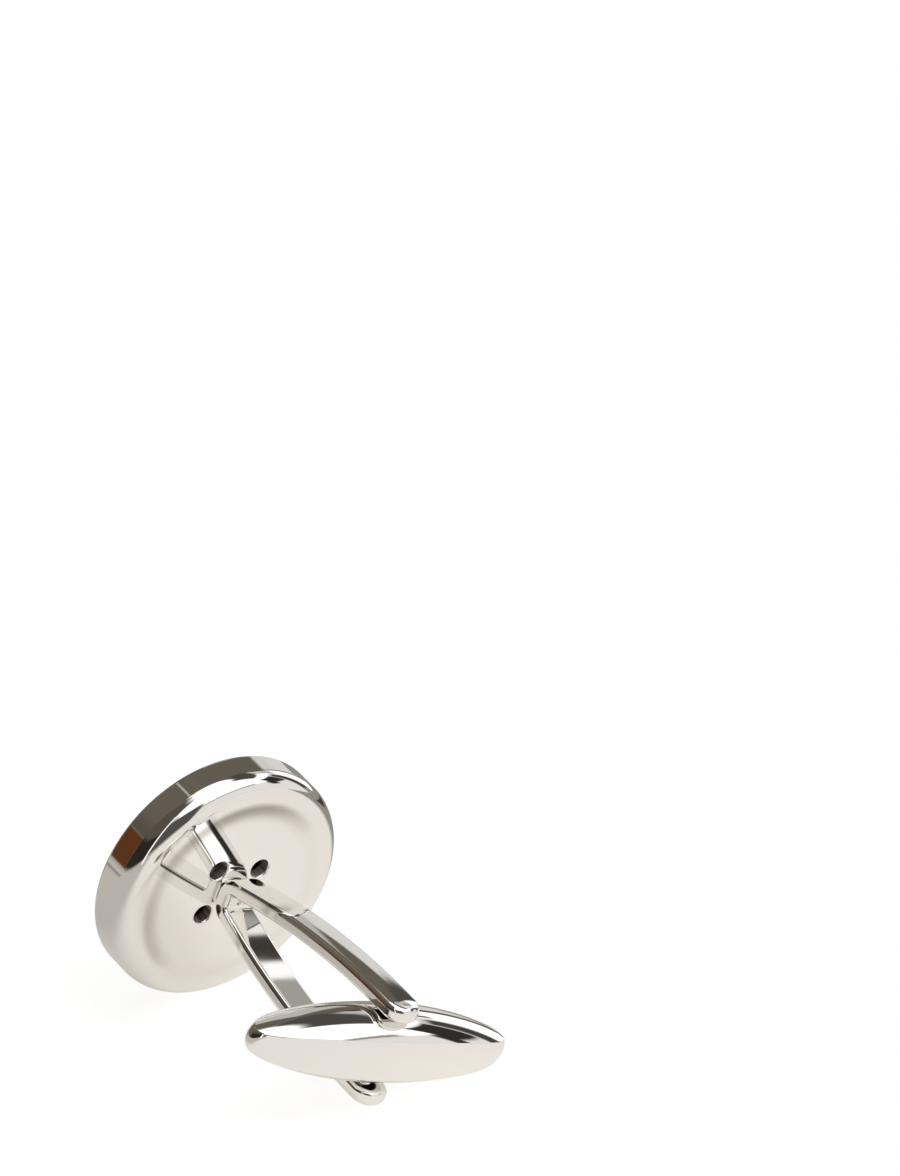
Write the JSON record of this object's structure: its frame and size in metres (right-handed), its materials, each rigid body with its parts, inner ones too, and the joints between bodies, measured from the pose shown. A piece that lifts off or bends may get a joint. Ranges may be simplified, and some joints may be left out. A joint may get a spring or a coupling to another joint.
{
  "type": "cufflink",
  "caption": "Polished cufflink: hollow round head, forked strap stem and a swivelling bar that turns on a pin between the arms.",
  "frame": {"origin": "centre of the head's front face, which lies on z = 0", "axes": "+Z from the front face along the stem, +Y along the bar's pin, +X across both, with the bar turned 9.1 degrees from it"},
  "size_m": [0.0178, 0.0162, 0.0215],
  "materials": {
    "polished_plate": "mirror-polished silver-coloured plating over brass",
    "satin_plate": "fine circular satin, silver-coloured plating over brass",
    "washer_brass": "bare stamped brass",
    "spring_steel": "blued spring steel strip"
  },
  "bodies": {
    "head": {"head_cup": "polished_plate", "face_plate": "satin_plate", "stem_fork": "polished_plate", "stem_rivet": "polished_plate", "rivet_washer": "washer_brass", "pivot_pin": "polished_plate"},
    "toggle": {"toggle_body": "polished_plate", "toggle_cover": "polished_plate", "detent_spring": "spring_steel"}
  },
  "joints": [
    {"name": "bar_swivel", "type": "hinge", "parent": "head", "child": "toggle", "pos_m": [0, 0, 0.019], "axis": [0, 1, 0], "continuous": true, "deforming": ["detent_spring"]}
  ]
}
